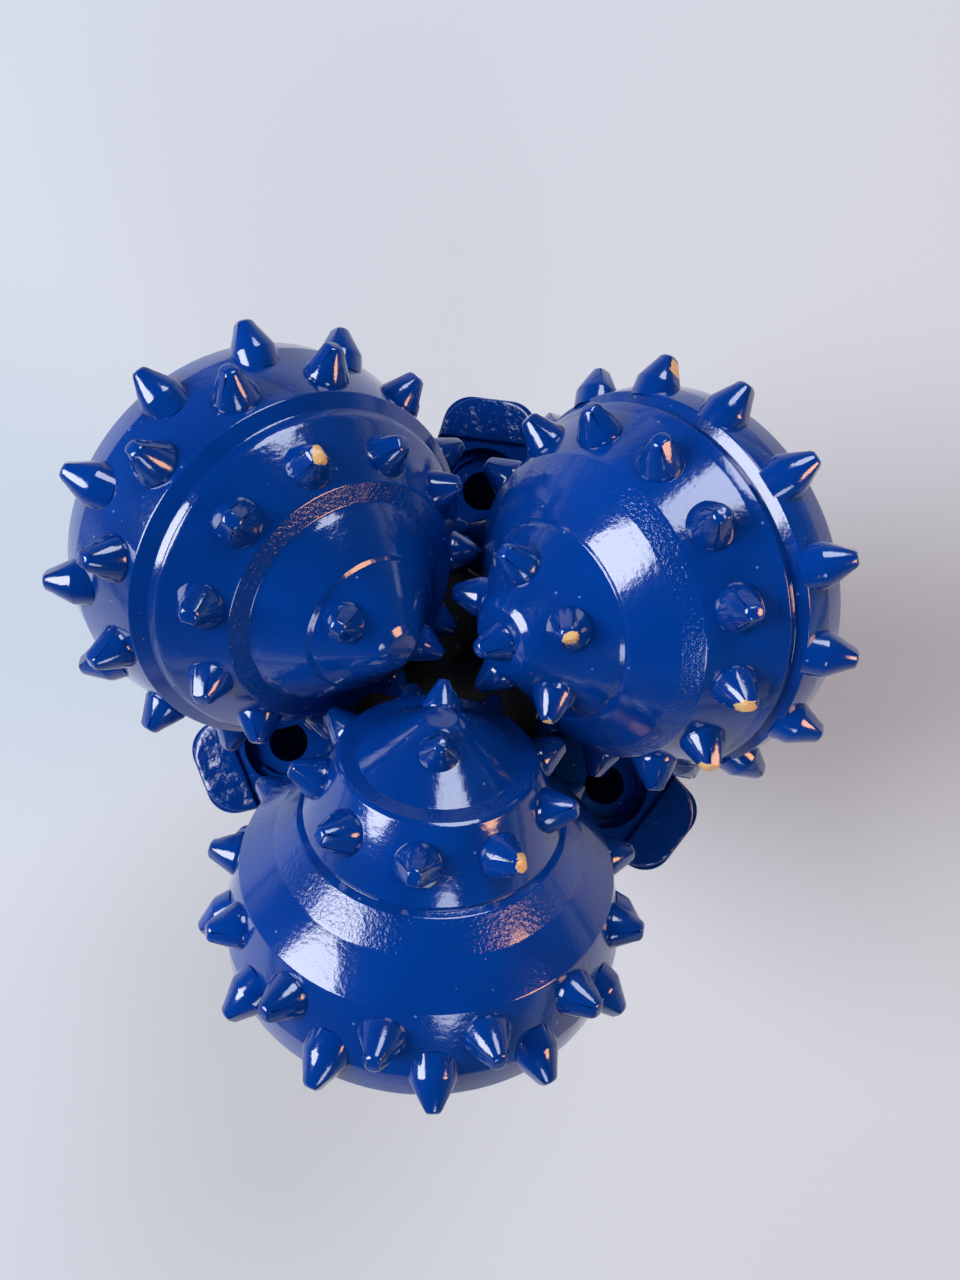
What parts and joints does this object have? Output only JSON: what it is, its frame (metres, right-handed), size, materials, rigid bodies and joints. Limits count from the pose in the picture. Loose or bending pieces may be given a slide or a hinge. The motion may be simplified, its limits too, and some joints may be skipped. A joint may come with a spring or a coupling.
{
  "type": "tricone drill bit",
  "caption": "Tricone roller bit: welded legs with a tapered pin, jet nozzles and intermeshing cones set with carbide inserts.",
  "frame": {"origin": "centre of the pin's end face, on the bit's axis", "axes": "+Z along the bit axis from the pin to the cones; the first cone lies at 30 degrees from +X"},
  "size_m": [0.1691, 0.1638, 0.2421],
  "materials": {
    "ball_steel": "polished bearing steel",
    "bearing_bronze": "bearing bronze with grease grooves",
    "button_alloy": "hard cobalt alloy, ground",
    "cap_enamel": "blue enamel over turned steel",
    "cone_enamel": "gloss blue enamel over machined steel",
    "insert_enamel": "gloss blue enamel over sintered carbide, chipped at a few crests",
    "leg_enamel": "gloss blue enamel over forged steel",
    "machined_steel": "turned steel",
    "nitrile_rubber": "black nitrile rubber",
    "nozzle_carbide": "ground tungsten carbide",
    "spring_steel": "blued spring steel",
    "weld_enamel": "blue enamel over a weld bead"
  },
  "bodies": {
    "bit_body": {"ball_plug_1": "machined_steel", "ball_plug_2": "machined_steel", "ball_plug_3": "machined_steel", "leg_1": "leg_enamel", "leg_2": "leg_enamel", "leg_3": "leg_enamel", "nozzle_1": "nozzle_carbide", "nozzle_2": "nozzle_carbide", "nozzle_3": "nozzle_carbide", "nozzle_clip_1": "spring_steel", "nozzle_clip_2": "spring_steel", "nozzle_clip_3": "spring_steel", "nozzle_seal_1": "nitrile_rubber", "nozzle_seal_2": "nitrile_rubber", "nozzle_seal_3": "nitrile_rubber", "reservoir_canister_1": "machined_steel", "reservoir_canister_2": "machined_steel", "reservoir_canister_3": "machined_steel", "reservoir_cap_1": "cap_enamel", "reservoir_cap_2": "cap_enamel", "reservoir_cap_3": "cap_enamel", "reservoir_clip_1": "spring_steel", "reservoir_clip_2": "spring_steel", "reservoir_clip_3": "spring_steel", "reservoir_diaphragm_1": "nitrile_rubber", "reservoir_diaphragm_2": "nitrile_rubber", "reservoir_diaphragm_3": "nitrile_rubber", "weld_beads": "weld_enamel"},
    "cone_1_body": {"cone_1": "cone_enamel", "cone_1_gauge_inserts": "insert_enamel", "cone_1_nose_inserts": "insert_enamel", "cone_1_outer_inserts": "insert_enamel", "cone_1_tip_inserts": "insert_enamel", "cone_seal_1": "nitrile_rubber", "journal_bush_1": "bearing_bronze", "nose_bush_1": "bearing_bronze", "thrust_button_1": "button_alloy"},
    "cone_2_body": {"cone_2": "cone_enamel", "cone_2_drive_inserts": "insert_enamel", "cone_2_gauge_inserts": "insert_enamel", "cone_2_nose_inserts": "insert_enamel", "cone_2_outer_inserts": "insert_enamel", "cone_seal_2": "nitrile_rubber", "journal_bush_2": "bearing_bronze", "nose_bush_2": "bearing_bronze", "thrust_button_2": "button_alloy"},
    "cone_3_body": {"cone_3": "cone_enamel", "cone_3_drive_inserts": "insert_enamel", "cone_3_gauge_inserts": "insert_enamel", "cone_3_inner_inserts": "insert_enamel", "cone_3_nose_inserts": "insert_enamel", "cone_seal_3": "nitrile_rubber", "journal_bush_3": "bearing_bronze", "nose_bush_3": "bearing_bronze", "thrust_button_3": "button_alloy"},
    "balls_1": {"lock_balls_1": "ball_steel"},
    "balls_2": {"lock_balls_2": "ball_steel"},
    "balls_3": {"lock_balls_3": "ball_steel"}
  },
  "joints": [
    {"name": "cone_1_spin", "type": "hinge", "parent": "bit_body", "child": "cone_1_body", "pos_m": [-0.00065, 0.00113, 0.231], "axis": [-0.7094, -0.4096, 0.5736], "continuous": true},
    {"name": "balls_1_orbit", "type": "hinge", "parent": "bit_body", "child": "balls_1", "pos_m": [-0.00065, 0.00113, 0.231], "axis": [-0.7094, -0.4096, 0.5736], "continuous": true},
    {"name": "cone_2_spin", "type": "hinge", "parent": "bit_body", "child": "cone_2_body", "pos_m": [-0.00065, -0.00113, 0.231], "axis": [0.7094, -0.4096, 0.5736], "continuous": true},
    {"name": "balls_2_orbit", "type": "hinge", "parent": "bit_body", "child": "balls_2", "pos_m": [-0.00065, -0.00113, 0.231], "axis": [0.7094, -0.4096, 0.5736], "continuous": true},
    {"name": "cone_3_spin", "type": "hinge", "parent": "bit_body", "child": "cone_3_body", "pos_m": [0.0013, 0, 0.231], "axis": [0, 0.8192, 0.5736], "continuous": true},
    {"name": "balls_3_orbit", "type": "hinge", "parent": "bit_body", "child": "balls_3", "pos_m": [0.0013, 0, 0.231], "axis": [0, 0.8192, 0.5736], "continuous": true}
  ],
  "couplings": [
    {"joint": "balls_1_orbit", "follows": "cone_1_spin", "ratio": 0.6152},
    {"joint": "balls_2_orbit", "follows": "cone_2_spin", "ratio": 0.6152},
    {"joint": "balls_3_orbit", "follows": "cone_3_spin", "ratio": 0.6152}
  ]
}
